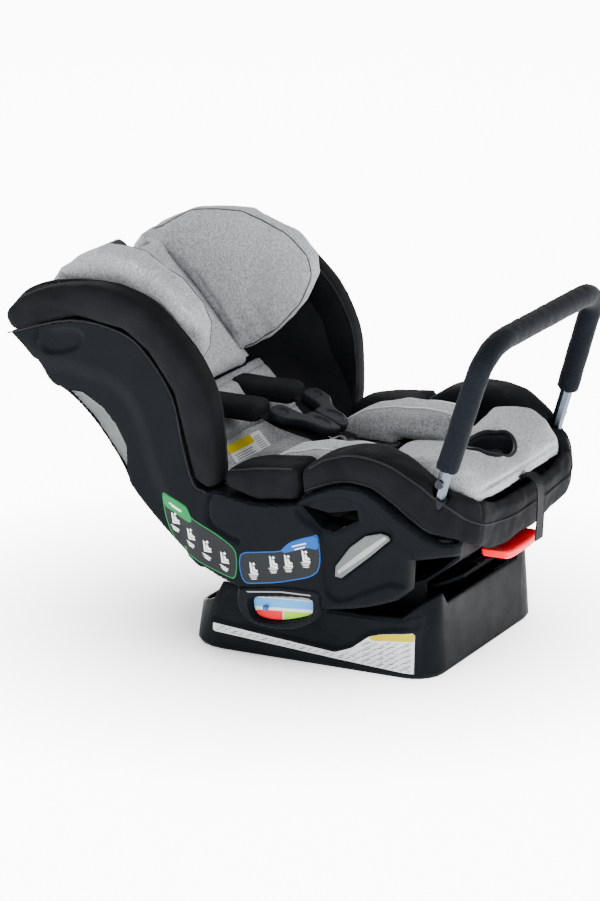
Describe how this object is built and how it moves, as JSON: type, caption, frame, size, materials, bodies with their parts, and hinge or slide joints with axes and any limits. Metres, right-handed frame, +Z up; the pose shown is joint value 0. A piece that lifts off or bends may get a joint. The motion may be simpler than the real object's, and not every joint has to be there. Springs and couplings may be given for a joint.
{
  "type": "convertible child car seat",
  "caption": "Reclining child car seat on a base, with a padded shell, sliding headrest, five-point harness, lifting seat pan, recline release and a removable anti-rebound bar.",
  "frame": {"origin": "on the flat underside of the base, on the seat's centre plane, 0.296 m behind the base's front edge", "axes": "+Z up; the child faces -Y; +X is towards the child's left"},
  "size_m": [0.4908, 0.744, 0.5571],
  "materials": {
    "base_plastic": "satin black moulded plastic",
    "shell_plastic": "fine-grained charcoal moulded plastic",
    "black_fabric": "matte black knitted cover with black piping",
    "grey_fabric": "light grey heather weave",
    "pale_plastic": "light grey moulded plastic",
    "webbing": "black ribbed polyester webbing",
    "foam": "dark navy closed-cell foam sleeve",
    "red_plastic": "glossy red",
    "steel": "bright drawn steel",
    "grip_rubber": "matte",
    "clip_plastic": "satin charcoal",
    "ball_blue": "glossy dark blue"
  },
  "bodies": {
    "base": {"base_tray": "base_plastic", "recline_track_left": "base_plastic", "recline_track_right": "base_plastic", "recline_rack": "steel", "grip_strip": "grip_rubber"},
    "shell": {"shell_tub": "shell_plastic", "steel_frame": "steel", "front_fairing": "base_plastic", "rear_cover": "pale_plastic", "headrest_rail": "steel", "pan_hinge_pin": "steel", "side_panel_left": "shell_plastic", "side_panel_right": "shell_plastic", "side_inset_left": "pale_plastic", "side_inset_right": "pale_plastic", "indicator_housing_left": "base_plastic", "indicator_housing_right": "base_plastic", "wing_cover_left": "black_fabric", "wing_cover_right": "black_fabric", "rear_bolster_left": "black_fabric", "rear_bolster_right": "black_fabric", "front_rim_cover": "black_fabric", "back_cushion": "grey_fabric", "seat_cushion": "grey_fabric", "thigh_pad_left": "grey_fabric", "thigh_pad_right": "grey_fabric", "bar_socket_left": "clip_plastic", "bar_socket_right": "clip_plastic", "crotch_buckle": "clip_plastic", "crotch_strap": "webbing", "lap_strap_left": "webbing", "lap_strap_right": "webbing", "shoulder_strap_left": "webbing", "shoulder_strap_right": "webbing", "shoulder_pad_left": "black_fabric", "shoulder_pad_right": "black_fabric", "adjuster_strap": "webbing"},
    "indicator_ball_left": {"indicator_ball_left": "ball_blue"},
    "indicator_ball_right": {"indicator_ball_right": "ball_blue"},
    "recline_handle": {"recline_handle": "red_plastic", "recline_pull_rod": "steel"},
    "recline_latch": {"recline_latch_bolt": "steel"},
    "pan": {"pan_panel": "shell_plastic", "pan_cushion": "grey_fabric", "front_pad": "grey_fabric"},
    "adjuster_button": {"adjuster_button": "clip_plastic"},
    "headrest": {"headrest_frame": "shell_plastic", "headrest_pad": "grey_fabric", "headrest_wing_left": "grey_fabric", "headrest_wing_right": "grey_fabric"},
    "headrest_handle": {"headrest_handle": "clip_plastic"},
    "rebound_bar": {"rebound_bar_tube": "steel", "rebound_bar_foam": "foam", "rebound_bar_bolt_left": "steel", "rebound_bar_bolt_right": "steel"},
    "buckle_tongue_left": {"buckle_tongue_left": "steel"},
    "buckle_tongue_right": {"buckle_tongue_right": "steel"},
    "buckle_button": {"buckle_button": "red_plastic"},
    "chest_clip": {"chest_clip_left": "clip_plastic"},
    "chest_clip_right": {"chest_clip_right": "clip_plastic"}
  },
  "joints": [
    {"name": "recline", "type": "hinge", "parent": "base", "child": "shell", "pos_m": [0, -0.12, 0.45], "axis": [1, 0, 0], "range_deg": [0, 18]},
    {"name": "indicator_ball_left_roll", "type": "hinge", "parent": "shell", "child": "indicator_ball_left", "pos_m": [0, -0.062, 0.309], "axis": [1, 0, 0], "range_deg": [-18, 0]},
    {"name": "indicator_ball_right_roll", "type": "hinge", "parent": "shell", "child": "indicator_ball_right", "pos_m": [0, -0.062, 0.309], "axis": [1, 0, 0], "range_deg": [-18, 0]},
    {"name": "headrest_slide", "type": "slide", "parent": "shell", "child": "headrest", "axis": [0, 0.6606, 0.7507], "range_m": [0, 0.155]},
    {"name": "headrest_handle_squeeze", "type": "slide", "parent": "headrest", "child": "headrest_handle", "axis": [0, 0.6606, 0.7507], "range_m": [0, 0.008], "stiffness_N_per_m": 900, "springref_m": -0.002},
    {"name": "pan_lift", "type": "hinge", "parent": "shell", "child": "pan", "pos_m": [0, -0.118, 0.2465], "axis": [-1, 0, 0], "range_deg": [0, 30]},
    {"name": "adjuster_button_press", "type": "slide", "parent": "pan", "child": "adjuster_button", "axis": [0, 0, -1], "range_m": [0, 0.005], "stiffness_N_per_m": 500, "springref_m": -0.002},
    {"name": "recline_handle_pull", "type": "slide", "parent": "shell", "child": "recline_handle", "axis": [0, -1, 0], "range_m": [0, 0.012], "stiffness_N_per_m": 900, "springref_m": -0.004},
    {"name": "recline_latch_lift", "type": "slide", "parent": "shell", "child": "recline_latch", "axis": [0, 0, 1], "range_m": [0, 0.008]},
    {"name": "rebound_bar_pull", "type": "slide", "parent": "shell", "child": "rebound_bar", "axis": [0, -0.2763, 0.9611], "range_m": [0, 0.1]},
    {"name": "buckle_tongue_left_release", "type": "slide", "parent": "shell", "child": "buckle_tongue_left", "axis": [0, 0.96, 0.28], "range_m": [0, 0.012]},
    {"name": "buckle_tongue_right_release", "type": "slide", "parent": "shell", "child": "buckle_tongue_right", "axis": [0, 0.96, 0.28], "range_m": [0, 0.012]},
    {"name": "buckle_button_press", "type": "slide", "parent": "shell", "child": "buckle_button", "axis": [0, 0.28, -0.96], "range_m": [0, 0.004], "stiffness_N_per_m": 800, "springref_m": -0.002},
    {"name": "chest_clip_slide", "type": "slide", "parent": "shell", "child": "chest_clip", "axis": [0, -0.9292, -0.3697], "range_m": [0, 0.03]},
    {"name": "chest_clip_release", "type": "slide", "parent": "chest_clip", "child": "chest_clip_right", "axis": [-1, 0, 0], "range_m": [0, 0.02]}
  ],
  "couplings": [
    {"joint": "indicator_ball_left_roll", "follows": "recline", "ratio": -1},
    {"joint": "indicator_ball_right_roll", "follows": "recline", "ratio": -1},
    {"joint": "recline_latch_lift", "follows": "recline_handle_pull", "ratio": 0.66667}
  ]
}
